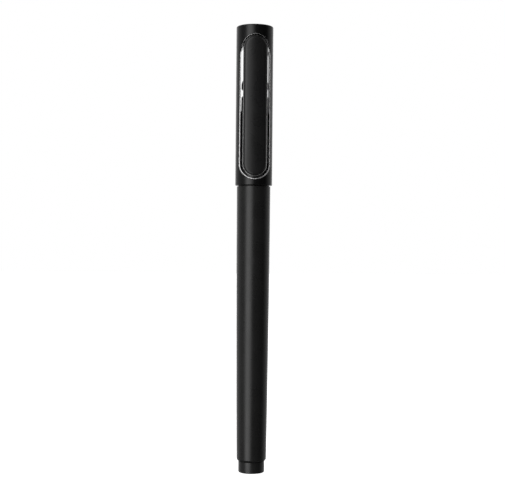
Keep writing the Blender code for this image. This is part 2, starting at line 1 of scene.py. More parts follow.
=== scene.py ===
"""The looks of the capped technical pen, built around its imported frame.

Lengths are in millimetres until a mesh is made; MM scales them to metres. The
pen stands on its end plug, its axis is Z, and the clip faces -Y.
"""

import math

import bmesh
import bpy
from mathutils import Matrix, Vector


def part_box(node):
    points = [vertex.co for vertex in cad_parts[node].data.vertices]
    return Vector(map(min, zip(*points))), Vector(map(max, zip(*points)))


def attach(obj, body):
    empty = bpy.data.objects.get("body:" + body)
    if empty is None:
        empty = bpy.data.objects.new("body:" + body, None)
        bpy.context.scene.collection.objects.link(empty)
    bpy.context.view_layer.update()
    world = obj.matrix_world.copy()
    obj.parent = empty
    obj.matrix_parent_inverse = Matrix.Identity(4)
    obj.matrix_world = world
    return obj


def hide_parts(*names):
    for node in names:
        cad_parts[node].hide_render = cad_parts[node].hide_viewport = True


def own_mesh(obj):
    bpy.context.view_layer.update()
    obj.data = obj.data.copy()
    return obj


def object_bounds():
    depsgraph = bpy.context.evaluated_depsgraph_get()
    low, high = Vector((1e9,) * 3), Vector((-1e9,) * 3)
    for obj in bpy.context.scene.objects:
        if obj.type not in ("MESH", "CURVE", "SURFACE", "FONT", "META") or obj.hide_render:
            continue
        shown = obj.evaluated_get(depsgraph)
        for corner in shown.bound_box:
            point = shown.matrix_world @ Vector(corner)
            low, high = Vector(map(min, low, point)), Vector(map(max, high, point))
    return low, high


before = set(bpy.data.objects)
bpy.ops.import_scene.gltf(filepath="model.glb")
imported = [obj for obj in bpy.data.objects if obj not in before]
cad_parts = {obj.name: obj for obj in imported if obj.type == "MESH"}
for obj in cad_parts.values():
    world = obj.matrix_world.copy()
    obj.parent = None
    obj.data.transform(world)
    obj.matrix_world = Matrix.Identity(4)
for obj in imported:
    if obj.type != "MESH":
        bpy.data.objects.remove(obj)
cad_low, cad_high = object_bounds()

MM = 0.001
FINE = 128
INSIDE = 72
SMALL = 40
SHARP_ANGLE = 32.0
STRAIGHT_ANGLE = 175.0
ARC_ANGLE = 16.0
FILLET_SHARE = 0.45
POLE_R = 1e-6


# ---- the frame's sizes ---------------------------------------------------


def span(node):
    """A node's lowest height, highest height and largest radius."""
    low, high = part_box(node)
    return low[2] / MM, high[2] / MM, high[0] / MM


# ---- mesh tools ------------------------------------------------------------


def corner_arc(corner, before, after, radius):
    """Points of the arc that rounds one corner of an outline."""
    u = Vector(before) - Vector(corner)
    v = Vector(after) - Vector(corner)
    opening = u.angle(v)
    if opening > math.radians(STRAIGHT_ANGLE):
        return [tuple(corner)]
    longest = min(FILLET_SHARE * u.length, FILLET_SHARE * v.length)
    run = min(radius / math.tan(opening / 2.0), longest)
    radius = run * math.tan(opening / 2.0)
    u.normalize()
    v.normalize()
    centre = Vector(corner) + (u + v).normalized() * (radius / math.sin(opening / 2.0))
    start = Vector(corner) + u * run - centre
    end = Vector(corner) + v * run - centre
    sweep = start.angle_signed(end)
    steps = max(2, math.ceil(abs(sweep) / math.radians(ARC_ANGLE)))
    points = []
    for i in range(steps + 1):
        turned = start.copy()
        turned.rotate(Matrix.Rotation(-sweep * i / steps, 2))
        points.append(tuple(centre + turned))
    return points


def soften(points, closed):
    """Round the corners of a (radius, height, fillet) outline."""
    outline = []
    count = len(points)
    for i, point in enumerate(points):
        fillet = point[2] if len(point) > 2 else 0.0
        ends = not closed and i in (0, count - 1)
        if fillet <= 0.0 or ends:
            outline.append(point[:2])
            continue
        before = points[i - 1][:2]
        after = points[(i + 1) % count][:2]
        outline += corner_arc(point[:2], before, after, fillet)
    return outline


def finish_mesh(name, shape, sharp=SHARP_ANGLE):
    """Turn a bmesh into an object with smooth faces and sharp corners."""
    bmesh.ops.recalc_face_normals(shape, faces=shape.faces)
    mesh = bpy.data.meshes.new(name)
    shape.to_mesh(mesh)
    shape.free()
    mesh.shade_smooth()
    mesh.set_sharp_from_angle(angle=math.radians(sharp))
    item = bpy.data.objects.new(name, mesh)
    bpy.context.scene.collection.objects.link(item)
    return item


def bridge(shape, first, second):
    """Faces between two rings; a ring of one vertex is a pole."""
    count = max(len(first), len(second))
    for i in range(count):
        j = (i + 1) % count
        corners = [first[i % len(first)], first[j % len(first)]]
        corners += [second[j % len(second)], second[i % len(second)]]
        face = []
        for vert in corners:
            if vert not in face:
                face.append(vert)
        if len(face) > 2:
            shape.faces.new(face)


def lathe(name, points, steps=FINE):
    """Turn a (radius, height, fillet) outline about the pen's axis."""
    closed = points[0][0] > 0.0
    outline = soften(points, closed)
    shape = bmesh.new()
    rings = []
    for r, z in outline:
        if r < POLE_R:
            rings.append([shape.verts.new((0.0, 0.0, z * MM))])
            continue
        ring = []
        for i in range(steps):
            angle = 2.0 * math.pi * i / steps
            place = (r * math.cos(angle) * MM, r * math.sin(angle) * MM, z * MM)
            ring.append(shape.verts.new(place))
        rings.append(ring)
    pairs = list(zip(rings, rings[1:]))
    if closed:
        pairs.append((rings[-1], rings[0]))
    for first, second in pairs:
        bridge(shape, first, second)
    return finish_mesh(name, shape)


def tube_along(name, path, radii, sides, closed=True):
    """A round bead along a path of points, in mm, with a radius for each point."""
    shape = bmesh.new()
    rings = []
    count = len(path)
    up = None
    for i, point in enumerate(path):
        before = path[i - 1] if closed or i > 0 else point
        after = path[(i + 1) % count] if closed or i < count - 1 else point
        along = (Vector(after) - Vector(before)).normalized()
        if up is None:
            up = Vector((0.0, 1.0, 0.0))
        side = along.cross(up).normalized()
        lift = side.cross(along).normalized()
        if not closed:
            up = lift
        ring = []
        for k in range(sides):
            angle = 2.0 * math.pi * k / sides
            offset = side * math.cos(angle) + lift * math.sin(angle)
            ring.append(shape.verts.new((Vector(point) + offset * radii[i]) * MM))
        rings.append(ring)
    for first, second in zip(rings, rings[1:]):
        bridge(shape, first, second)
    if closed:
        bridge(shape, rings[-1], rings[0])
    else:
        shape.faces.new(rings[0])
        shape.faces.new(rings[-1])
    return finish_mesh(name, shape)


def stadium(radius, z_low, z_high, arc_points, straight_points):
    """A racetrack outline in the XZ plane, counter-clockwise seen from -Y."""
    outline = []
    for centre, first in ((z_high, 0.0), (z_low, 180.0)):
        for i in range(arc_points + 1):
            angle = math.radians(first + 180.0 * i / arc_points)
            outline.append((radius * math.cos(angle), centre + radius * math.sin(angle)))
        x = outline[-1][0]
        other = z_low if centre == z_high else z_high
        for i in range(1, straight_points):
            outline.append((x, centre + (other - centre) * i / straight_points))
    return outline


def prism(name, outline, y_front, y_back):
    """An outline in the XZ plane, extruded along Y."""
    shape = bmesh.new()
    front = [shape.verts.new((x * MM, y_front * MM, z * MM)) for x, z in outline]
    back = [shape.verts.new((x * MM, y_back * MM, z * MM)) for x, z in outline]
    bridge(shape, front, back)
    shape.faces.new(front)
    shape.faces.new(back)
    return finish_mesh(name, shape)


def brick(name, low, high):
    """A box between two corners, in mm."""
    outline = [(low[0], low[2]), (high[0], low[2]), (high[0], high[2]), (low[0], high[2])]
    return prism(name, outline, low[1], high[1])


def cut(item, other, operation):
    """Apply one Boolean with a helper, keep its material, and drop the helper."""
    step = item.modifiers.new(other.name, "BOOLEAN")
    step.operation = operation
    step.solver = "EXACT"
    step.material_mode = "TRANSFER"
    step.object = other
    bpy.context.view_layer.update()
    graph = bpy.context.evaluated_depsgraph_get()
    mesh = bpy.data.meshes.new_from_object(item.evaluated_get(graph))
    item.modifiers.clear()
    item.data = mesh
    bpy.data.objects.remove(other, do_unlink=True)
    mesh.shade_smooth()
    mesh.set_sharp_from_angle(angle=math.radians(SHARP_ANGLE))
    return item


# ---- materials -------------------------------------------------------------

NOISE_RANGE = (0.3, 0.7)
CLOUD_SCALE = 160.0
METAL_CLOUD_SCALE = 300.0
METAL_LINE_SCALE = 900.0
PLASTIC_GRAIN_DEPTH = 0.00002
METAL_LINE_DEPTH = 0.00001
INK_LEVEL = 0.068
INK_EDGE = 0.0006
INK_BLACK = (0.012, 0.012, 0.016)


def new_material(name):
    """A material with its nodes, its links and its main shader."""
    material = bpy.data.materials.new(name)
    material.use_nodes = True
    nodes = material.node_tree.nodes
    shader = nodes["Principled BSDF"]
    return material, nodes, material.node_tree.links, shader


def noise(nodes, links, coords, scale, detail, roughness=0.5):
    """Soft noise over the given coordinates."""
    node = nodes.new("ShaderNodeTexNoise")
    node.inputs["Scale"].default_value = scale
    node.inputs["Detail"].default_value = detail
    node.inputs["Roughness"].default_value = roughness
    links.new(coords, node.inputs["Vector"])
    return node.outputs["Fac"]


def spread(nodes, links, source, low, high):
    """Map a noise's middle range to low..high."""
    node = nodes.new("ShaderNodeMapRange")
    node.inputs["From Min"].default_value = NOISE_RANGE[0]
    node.inputs["From Max"].default_value = NOISE_RANGE[1]
    node.inputs["To Min"].default_value = low
    node.inputs["To Max"].default_value = high
    links.new(source, node.inputs["Value"])
    return node.outputs["Result"]


def tint(nodes, links, factor, dark, light):
    """A colour between dark and light, as the factor says."""
    node = nodes.new("ShaderNodeMix")
    node.data_type = "RGBA"
    node.inputs["A"].default_value = (*dark, 1.0)
    node.inputs["B"].default_value = (*light, 1.0)
    links.new(factor, node.inputs["Factor"])
    return node.outputs["Result"]


def grain_bump(nodes, links, shader, source, strength, distance):
    """Raise a shader's surface a little where the source is high."""
    node = nodes.new("ShaderNodeBump")
    node.inputs["Strength"].default_value = strength
    node.inputs["Distance"].default_value = distance
    links.new(source, node.inputs["Height"])
    links.new(node.outputs["Normal"], shader.inputs["Normal"])


def plastic(name, color, roughness, grain, bump, ior=1.46, spread_share=0.18):
    """Moulded plastic: fine even grain, slightly uneven gloss and colour."""
    material, nodes, links, shader = new_material(name)
    coords = nodes.new("ShaderNodeTexCoord").outputs["Object"]
    fine = noise(nodes, links, coords, grain, 3.0, 0.6)
    broad = noise(nodes, links, coords, CLOUD_SCALE, 2.0)
    dark = [value * 0.92 for value in color]
    light = [value * 1.08 for value in color]
    links.new(tint(nodes, links, broad, dark, light), shader.inputs["Base Color"])
    low = roughness * (1.0 - spread_share)
    high = roughness * (1.0 + spread_share)
    links.new(spread(nodes, links, broad, low, high), shader.inputs["Roughness"])
    shader.inputs["IOR"].default_value = ior
    grain_bump(nodes, links, shader, fine, bump, PLASTIC_GRAIN_DEPTH)
    return material


def metal(name, color, roughness, stretch, bump):
    """Turned or drawn metal with fine lines along one direction."""
    material, nodes, links, shader = new_material(name)
    coords = nodes.new("ShaderNodeTexCoord").outputs["Object"]
    mapping = nodes.new("ShaderNodeMapping")
    mapping.inputs["Scale"].default_value = stretch
    links.new(coords, mapping.inputs["Vector"])
    lines = noise(nodes, links, mapping.outputs["Vector"], METAL_LINE_SCALE, 4.0, 0.7)
    broad = noise(nodes, links, coords, METAL_CLOUD_SCALE, 2.0)
    dark = [value * 0.93 for value in color]
    links.new(tint(nodes, links, broad, dark, color), shader.inputs["Base Color"])
    gloss = spread(nodes, links, lines, roughness * 0.8, roughness * 1.25)
    links.new(gloss, shader.inputs["Roughness"])
    shader.inputs["Metallic"].default_value = 1.0
    grain_bump(nodes, links, shader, lines, bump, METAL_LINE_DEPTH)
    return material


def cartridge_plastic(name, ink_level):
    """Cloudy plastic with black ink behind it up to a level, in metres."""
    material, nodes, links, shader = new_material(name)
    coords = nodes.new("ShaderNodeTexCoord").outputs["Object"]
    axes = nodes.new("ShaderNodeSeparateXYZ")
    links.new(coords, axes.inputs["Vector"])
    edge = nodes.new("ShaderNodeMapRange")
    edge.interpolation_type = "SMOOTHSTEP"
    edge.inputs["From Min"].default_value = ink_level - INK_EDGE
    edge.inputs["From Max"].default_value = ink_level + INK_EDGE
    links.new(axes.outputs["Z"], edge.inputs["Value"])
    cloud = noise(nodes, links, coords, 220.0, 3.0)
    clear = tint(nodes, links, cloud, (0.50, 0.53, 0.56), (0.62, 0.65, 0.68))
    mix = nodes.new("ShaderNodeMix")
    mix.data_type = "RGBA"
    mix.inputs["A"].default_value = (*INK_BLACK, 1.0)
    links.new(edge.outputs["Result"], mix.inputs["Factor"])
    links.new(clear, mix.inputs["B"])
    links.new(mix.outputs["Result"], shader.inputs["Base Color"])
    links.new(spread(nodes, links, cloud, 0.16, 0.26), shader.inputs["Roughness"])
    shader.inputs["Coat Weight"].default_value = 0.3
    return material


def make_materials():
    """Every look, by the name the pieces ask for."""
    satin = dict(grain=9000.0, bump=0.10)
    return {
        "cap": plastic("cap_satin_black", (0.0075, 0.0075, 0.0078), 0.26, **satin),
        "clip": plastic("clip_satin_black", (0.016, 0.016, 0.0162), 0.28, **satin),
        "barrel": plastic("barrel_satin_black", (0.021, 0.021, 0.0208), 0.28, **satin),
        "grip": plastic("grip_matte_black", (0.024, 0.024, 0.024), 0.42, 7000.0, 0.3),
        "gloss": plastic("gloss_black", (0.005, 0.005, 0.0055), 0.12, 5000.0, 0.03, 1.5),
        "liner": plastic("liner_gloss_black", (0.03, 0.03, 0.031), 0.2, 5000.0, 0.03, 1.5),
        "rubber": plastic("seal_rubber_black", (0.022, 0.022, 0.022), 0.6, 6000.0, 0.35),
        "nib": plastic("nib_grey_plastic", (0.16, 0.165, 0.17), 0.34, 8000.0, 0.15),
        "ring": plastic("ring_white_plastic", (0.72, 0.72, 0.70), 0.3, 8000.0, 0.08),
        "edge": metal("bright_cut_edge", (0.97, 0.97, 0.97), 0.5, (1.0, 1.0, 1.0), 0.01),
        # The clip's edge line is a painted highlight: grey metal standing in for the light the clip's
        # border catches.
        "clip_edge": metal("clip_painted_highlight", (0.5, 0.5, 0.5), 0.36, (1.0, 1.0, 1.0), 0.01),
        "steel": metal("turned_steel", (0.60, 0.60, 0.61), 0.24, (0.15, 0.15, 3.0), 0.25),
        "spring": metal("spring_wire", (0.55, 0.55, 0.57), 0.28, (1.0, 1.0, 1.0), 0.1),
        "cartridge": cartridge_plastic("cartridge_with_ink", INK_LEVEL),
    }


def settle(item, material, body, *nodes):
    """Give a piece its material, its body and the CAD nodes it stands for."""
    if not any(item.data.materials):
        item.data.materials.clear()
        item.data.materials.append(material)
    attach(item, body)
    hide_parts(*nodes)
    return item


# ---- barrel and end plug -----------------------------------------------------

PRESS_GAP = 0.06
SLIDE_GAP = 0.10
FACE_GAP = 0.15
BORE_R = 3.55
SOCKET_R = 4.05
SOCKET_Z = 79.5
SOCKET_TAPER = 0.5
BARREL_SIDE = [(5.2, 54.8), (4.93, 22.9)]
BARREL_END_R = 4.71
BARREL_END = 0.5
BARREL_FOOT_R = 4.32
BARREL_RIM_FILLET = 0.04
THREAD_TURNS = 7
THREAD_PITCH = 0.9
SOCKET_THREAD_TOP = 2.4
SOCKET_THREAD_HALF = 0.25
SOCKET_THREAD_DEPTH = 0.16
PLUG_CORE_R = 2.6
PLUG_FLOOR = 1.2


def make_barrel(looks):
    """The tapered tube, with thread grooves in its socket."""
    z0, z1, top_r = span("barrel")
    rings = []
    for i in range(THREAD_TURNS):
        z = z1 - SOCKET_THREAD_TOP - i * THREAD_PITCH
        rings += [
            (SOCKET_R, z + SOCKET_THREAD_HALF, 0.05),
            (SOCKET_R + SOCKET_THREAD_DEPTH, z, 0.05),
            (SOCKET_R, z - SOCKET_THREAD_HALF, 0.05),
        ]
    points = [
        (top_r, z1, BARREL_RIM_FILLET),
        *BARREL_SIDE,
        (BARREL_END_R, z0 + BARREL_END, 0.3),
        (BARREL_FOOT_R, z0, 0.06),
        (BORE_R, z0, 0.08),
        (BORE_R, SOCKET_Z - SOCKET_TAPER, 0.05),
        (SOCKET_R, SOCKET_Z, 0.05),
        *reversed(rings),
        (SOCKET_R, z1, 0.10),
    ]
    settle(lathe("barrel_fine", points), looks["barrel"], "barrel", "barrel")


def make_end_plug(looks):
    """The hollow plug that closes the barrel's rear end."""
    z0, z1, radius = span("end_plug")
    head = span("barrel")[0] - FACE_GAP
    spigot = BORE_R - PRESS_GAP
    points = [
        (0.0, z0 + PLUG_FLOOR),
        (PLUG_CORE_R, z0 + PLUG_FLOOR, 0.3),
        (PLUG_CORE_R, z1, 0.15),
        (spigot, z1, 0.4),
        (spigot, head, 0.08),
        (radius, head, 0.10),
        (radius, z0, 0.34),
        (0.0, z0),
    ]
    settle(lathe("end_plug_fine", points), looks["barrel"], "barrel", "end_plug")


# ---- grip section ------------------------------------------------------------

COLLAR_HEIGHT = 1.65
COLLAR_SEAT_R = 4.27
COLLAR_SEAT_HALF = 0.33
GRIP_R = 4.10
GRIP_NOSE_R = 3.60
GRIP_TAPER_Z = 98.0
GRIP_GROOVES = 6
GRIP_GROOVE_Z0 = 99.2
GRIP_GROOVE_PITCH = 1.3
GRIP_GROOVE_DEPTH = 0.14
GRIP_GROOVE_MOUTH = 0.42
GRIP_GROOVE_FLOOR = 0.14
NIB_BORE_R = 2.75
REAR_BORE_R = 3.3
REAR_BORE_Z = 93.6
REAR_BORE_TAPER = 0.4
THREAD_DEPTH = 0.22
THREAD_TOP = 1.6
THREAD_WIDTH = 0.30
THREAD_SINK = 0.06
THREAD_STEPS = 36
RIDGE_FOOT = 0.2
SEAL_STEPS = 16
RING_GROOVE_DEPTH = 0.12
RING_GROOVE = ((0.7, 0.8), (1.0, 1.1))


def grip_outline(z1):
    """The fluted, tapering side of the grip, from its nose down."""
    outline = []
    for i in reversed(range(GRIP_GROOVES)):
        z = GRIP_GROOVE_Z0 + GRIP_GROOVE_PITCH * i
        radius = GRIP_R + (GRIP_NOSE_R - GRIP_R) * (z - GRIP_TAPER_Z) / (z1 - GRIP_TAPER_Z)
        floor_r = radius - GRIP_GROOVE_DEPTH
        outline += [(radius, z + GRIP_GROOVE_MOUTH, 0.12), (floor_r, z + GRIP_GROOVE_FLOOR, 0.12)]
        outline += [(floor_r, z - GRIP_GROOVE_FLOOR, 0.12), (radius, z - GRIP_GROOVE_MOUTH, 0.12)]
    return outline


def make_section(looks):
    """The grip with its collar and threaded spigot, and the collar's rubber ring."""
    z0, z1, collar_r = span("grip_section")
    collar_low = span("barrel")[1] + FACE_GAP
    collar_high = collar_low + COLLAR_HEIGHT
    seal_low, seal_high, seal_r = span("collar_seal")
    seal_z = (seal_low + seal_high) / 2.0
    spigot_r = SOCKET_R - SLIDE_GAP
    thread_root = spigot_r - THREAD_DEPTH
    points = [
        (NIB_BORE_R, z1, 0.08),
        (GRIP_NOSE_R, z1, 0.25),
        *grip_outline(z1),
        (GRIP_R, GRIP_TAPER_Z, 0.5),
        (GRIP_R, collar_high, 0.1),
        (collar_r, collar_high, 0.12),
        (collar_r, seal_z + COLLAR_SEAT_HALF, 0.04),
        (COLLAR_SEAT_R, seal_z + COLLAR_SEAT_HALF, 0.04),
        (COLLAR_SEAT_R, seal_z - COLLAR_SEAT_HALF, 0.04),
        (collar_r, seal_z - COLLAR_SEAT_HALF, 0.04),
        (collar_r, collar_low, 0.06),
        (thread_root, collar_low, 0.1),
        (thread_root, z0, 0.25),
        (REAR_BORE_R, z0, 0.1),
        (REAR_BORE_R, REAR_BORE_Z),
        (NIB_BORE_R, REAR_BORE_Z + REAR_BORE_TAPER),
    ]
    body = lathe("grip_section_fine", points)
    start = collar_low - THREAD_TOP - THREAD_TURNS * THREAD_PITCH
    radius = thread_root + THREAD_SINK
    thread = []
    for i in range(THREAD_TURNS * THREAD_STEPS + 1):
        angle = math.radians(360.0 / THREAD_STEPS * i)
        z = start + THREAD_PITCH * i / THREAD_STEPS
        thread.append((radius * math.cos(angle), radius * math.sin(angle), z))
    height = spigot_r - thread_root - THREAD_SINK
    ridge = helix_ridge("section_thread", thread, THREAD_WIDTH, height)
    settle(cut(body, ridge, "UNION"), looks["grip"], "section", "grip_section")
    wire = (seal_high - seal_low) / 2.0
    make_seal_ring("collar_seal_fine", seal_r - wire, seal_z, wire, looks, "section", "collar_seal")


def helix_ridge(name, path, width, height):
    """A thread's ridge: a tapered section swept along a helix about Z."""
    shape = bmesh.new()
    rings = []
    section = [
        (-RIDGE_FOOT, -width / 2.0),
        (-RIDGE_FOOT, width / 2.0),
        (height, width / 6.0),
        (height, -width / 6.0),
    ]
    for x, y, z in path:
        out = Vector((x, y, 0.0)).normalized()
        ring = []
        for away, up in section:
            point = Vector((x, y, z + up)) + out * away
            ring.append(shape.verts.new(point * MM))
        rings.append(ring)
    for first, second in zip(rings, rings[1:]):
        bridge(shape, first, second)
    shape.faces.new(rings[0])
    shape.faces.new(rings[-1])
    return finish_mesh(name, shape)


def make_seal_ring(name, radius, height, wire, looks, body, node):
    """A round rubber ring about the pen's axis."""
    points = []
    for i in range(SEAL_STEPS):
        angle = -2.0 * math.pi * i / SEAL_STEPS
        points.append((radius + wire * math.cos(angle), height + wire * math.sin(angle)))
    settle(lathe(name, points, INSIDE), looks["rubber"], body, node)


def make_colour_ring(looks):
    """The line-width ring, with a fine groove round it."""
    z0, z1, radius = span("colour_ring")
    (top, floor_top), (floor_low, low) = RING_GROOVE
    points = [
        (NIB_BORE_R, z1, 0.04),
        (radius, z1, 0.14),
        (radius, z1 - top, 0.05),
        (radius - RING_GROOVE_DEPTH, z1 - floor_top, 0.05),
        (radius - RING_GROOVE_DEPTH, z1 - floor_low, 0.05),
        (radius, z1 - low, 0.05),
        (radius, z0, 0.12),
        (NIB_BORE_R, z0, 0.04),
    ]
    settle(lathe("colour_ring_fine", points, FINE), looks["ring"], "section", "colour_ring")


# ---- nib unit ------------------------------------------------------------------

NIB_R = 2.62
NIB_SPIGOT_R = 1.0
NIB_SPIGOT = 1.2
NIB_FLANGE = 1.13
NIB_SEAT_R = 2.18
NIB_SEAT_HALF = 0.30
NIB_WELL_R = 1.25
NIB_WELL_Z = 109.8
NIB_WELL_TAPER = 0.4
VENT_GROOVES = 5
VENT_Z0 = 96.2
VENT_PITCH = 1.2
VENT_ROOT_R = 2.0
VENT_MOUTH = 0.36
VENT_FLOOR = 0.24
TUBE_HOLE_R = 0.44
TUBE_BORE_R = 0.22
CONE_TIP_R = 0.8
CONE_FLARE_R = 1.05
CONE_TIP = 0.6
CONE_RIM = 0.6
CONE_SHOULDER = (0.2, 0.9)
CONE_BORE_R = 1.08
CONE_GAP = 0.15
RETAINER_R = 1.17
RETAINER_HOLE_R = 0.35
RETAINER_GAP = 0.1
WEIGHT_TIP_R = 0.55
WEIGHT_TIP = 0.5
WEIGHT_GROOVE = ((2.5, 2.7), (3.1, 3.3))
WEIGHT_GROOVE_DEPTH = 0.22
WIRE_STEPS = 20


def make_nib(looks):
    """The nib unit and everything screwed or pressed into it."""
    make_nib_body(looks)
    make_nib_cone(looks)
    make_nib_tube(looks)
    make_retaining_plug(looks)


def make_nib_body(looks):
    """The flanged nib unit with its vent grooves, and its rubber ring."""
    z0, z1, flange_r = span("nib_body")
    flange_high = z1 - NIB_SPIGOT
    flange_low = flange_high - NIB_FLANGE
    seal_low, seal_high, seal_r = span("nib_seal_ring")
    seal_z = (seal_low + seal_high) / 2.0
    vents = []
    for i in reversed(range(VENT_GROOVES)):
        z = VENT_Z0 + VENT_PITCH * i
        vents += [(NIB_R, z + VENT_MOUTH, 0.06), (VENT_ROOT_R, z + VENT_FLOOR, 0.08)]
        vents += [(VENT_ROOT_R, z - VENT_FLOOR, 0.08), (NIB_R, z - VENT_MOUTH, 0.06)]
    points = [
        (TUBE_HOLE_R, z1, 0.03),
        (NIB_SPIGOT_R, z1, 0.08),
        (NIB_SPIGOT_R, flange_high, 0.06),
        (flange_r, flange_high, 0.15),
        (flange_r, flange_low, 0.12),
        (NIB_R, flange_low, 0.05),
        (NIB_R, seal_z + NIB_SEAT_HALF, 0.04),
        (NIB_SEAT_R, seal_z + NIB_SEAT_HALF, 0.04),
        (NIB_SEAT_R, seal_z - NIB_SEAT_HALF, 0.04),
        (NIB_R, seal_z - NIB_SEAT_HALF, 0.04),
        *vents,
        (NIB_R, z0, 0.12),
        (NIB_WELL_R, z0, 0.05),
        (NIB_WELL_R, NIB_WELL_Z, 0.2),
        (TUBE_HOLE_R, NIB_WELL_Z + NIB_WELL_TAPER),
    ]
    settle(lathe("nib_body_fine", points, INSIDE), looks["nib"], "nib", "nib_body")
    wire = (seal_high - seal_low) / 2.0
    make_seal_ring("nib_seal_ring_fine", seal_r - wire, seal_z, wire, looks, "nib", "nib_seal_ring")


def make_nib_cone(looks):
    """The metal nose round the writing tube."""
    z0, z1, radius = span("nib_cone")
    bore_top = span("nib_body")[1] + CONE_GAP
    inset, height = CONE_SHOULDER
    points = [
        (TUBE_HOLE_R, z1, 0.03),
        (CONE_TIP_R, z1, 0.12),
        (CONE_FLARE_R, z1 - CONE_TIP, 0.15),
        (radius - inset, z0 + height, 0.3),
        (radius, z0 + CONE_RIM, 0.1),
        (radius, z0, 0.06),
        (CONE_BORE_R, z0, 0.03),
        (CONE_BORE_R, bore_top, 0.03),
        (TUBE_HOLE_R, bore_top, 0.03),
    ]
    settle(lathe("nib_cone_fine", points, INSIDE), looks["steel"], "nib", "nib_cone")


def make_nib_tube(looks):
    """The fine steel tube that writes."""
    z0, z1, radius = span("nib_tube")
    points = [(TUBE_BORE_R, z1, 0.02), (radius, z1, 0.06), (radius, z0, 0.03), (TUBE_BORE_R, z0, 0.02)]
    settle(lathe("nib_tube_fine", points, SMALL), looks["steel"], "nib", "nib_tube")


def make_retaining_plug(looks):
    """The plug in the nib's rear that keeps the drop weight in."""
    z0, z1, head_r = span("retaining_plug")
    shoulder = span("nib_body")[0] - RETAINER_GAP
    points = [
        (RETAINER_HOLE_R, z1, 0.05),
        (RETAINER_R, z1, 0.12),
        (RETAINER_R, shoulder, 0.04),
        (head_r, shoulder, 0.08),
        (head_r, z0, 0.12),
        (RETAINER_HOLE_R, z0, 0.08),
    ]
    settle(lathe("retaining_plug_fine", points, SMALL), looks["nib"], "nib", "retaining_plug")


def make_weight(looks):
    """The drop weight with its groove, and the cleaning wire it carries."""
    z0, z1, radius = span("drop_weight")
    (low, floor_low), (floor_top, top) = WEIGHT_GROOVE
    points = [
        (0.0, z1),
        (WEIGHT_TIP_R, z1, 0.06),
        (radius, z1 - WEIGHT_TIP, 0.12),
        (radius, z0 + top, 0.06),
        (radius - WEIGHT_GROOVE_DEPTH, z0 + floor_top, 0.06),
        (radius - WEIGHT_GROOVE_DEPTH, z0 + floor_low, 0.06),
        (radius, z0 + low, 0.06),
        (radius, z0, 0.2),
        (0.0, z0),
    ]
    settle(lathe("drop_weight_fine", points, SMALL), looks["steel"], "weight", "drop_weight")
    low, high, wire_r = span("cleaning_wire")
    points = [(0.0, high), (wire_r, high, 0.06), (wire_r, low), (0.0, low)]
    settle(lathe("cleaning_wire_fine", points, WIRE_STEPS), looks["steel"], "weight", "cleaning_wire")


# ---- ink cartridge ---------------------------------------------------------------

INK_SHOULDER_Z = 79.6
INK_SHOULDER_HALF = 0.1
INK_BORE_R = 3.0
INK_NECK_R = 3.2
INK_NECK_BORE_R = 2.9
INK_THROAT = (1.0, 0.6)
INK_PLUG_R = 2.94
INK_PLUG_CORE_R = 2.3
INK_PLUG_FLOOR = 0.6
INK_PLUG_GAP = 0.05


def make_cartridge(looks):
    """The ink cartridge with its neck, and the plug in its rear end."""
    z0, z1, radius = span("ink_cartridge")
    throat_low, throat_high = INK_THROAT
    points = [
        (INK_NECK_BORE_R, z1, 0.06),
        (INK_NECK_R, z1, 0.10),
        (INK_NECK_R, INK_SHOULDER_Z + INK_SHOULDER_HALF, 0.1),
        (radius, INK_SHOULDER_Z - INK_SHOULDER_HALF, 0.1),
        (radius, z0, 0.08),
        (INK_BORE_R, z0, 0.05),
        (INK_BORE_R, INK_SHOULDER_Z - throat_low, 0.1),
        (INK_NECK_BORE_R, INK_SHOULDER_Z - throat_high, 0.1),
    ]
    settle(lathe("ink_cartridge_fine", points), looks["cartridge"], "cartridge", "ink_cartridge")
    low, high, head_r = span("cartridge_plug")
    head = z0 - INK_PLUG_GAP
    points = [
        (0.0, z0 + INK_PLUG_FLOOR),
        (INK_PLUG_CORE_R, z0 + INK_PLUG_FLOOR, 0.2),
        (INK_PLUG_CORE_R, high, 0.1),
        (INK_PLUG_R, high, 0.15),
        (INK_PLUG_R, head, 0.04),
        (head_r, head, 0.06),
        (head_r, low, 0.18),
        (0.0, low),
    ]
    settle(lathe("cartridge_plug_fine", points, INSIDE), looks["nib"], "cartridge", "cartridge_plug")


# ---- cap -------------------------------------------------------------------------

CAP_BORE_R = 5.05
CAP_CEILING = 0.9
CAP_TOP_FILLET = 0.42
CAP_RIM_FILLET = 0.22
CAP_RIM_DEPTH = 0.05
CAP_STEPS = 192
WINDOW_R = 4.60
WINDOW_LOW = 6.58
WINDOW_HIGH = 41.3
OUTLINE_STEP = 1.5
WINDOW_ARC_STEPS = 72
WINDOW_SIDE_STEPS = 12
SEAT_ARC_STEPS = 64
SEAT_SIDE_STEPS = 4
MEET_ARC_STEPS = 12
TRIM_SIDES = 20
TRIM_WIDE = 0.24
TRIM_LOW = 0.14
TRIM_SLIM = 0.13
TRIM_FINE = 0.045
TRIM_OUT = 0.5
TRIM_DEPTH = 0.25
SEAT_GAP = 0.36
SEAT_Y = -4.1
SEAT_DROP = 13.0
SLOT_GAP = 0.3
CUTTER_REACH = 2.0
DOME_LEAN = 0.14
DOME_LEAN_R = 3.6
DOME_R = 4.28
DOME_HEIGHT = 3.5
DOME_STEPS = 13
WAIST_R = 3.75
WAIST = (4.7, 5.2, 6.8, 7.4)
SHOULDER = 20.8
SHOULDER_R = 4.35
SHOULDER_RISE = 1.4
LINER_BORE_R = 4.45
LINER_BORE_TAPER = 1.0
LINER_STOP_R = 3.2
LINER_STOP = (0.8, 0.95)
LINER_WELL_R = 3.35
LINER_WELL_DEPTH = 2.8
LINER_CROWN_R = 2.35
LINER_CROWN = (1.3, 0.9)
SKIRT_STEP = 0.21
PLUNGER_HEAD = (2.4, 2.6)
PLUNGER_BORE_R = 2.6
PLUNGER_CROWN = 1.1
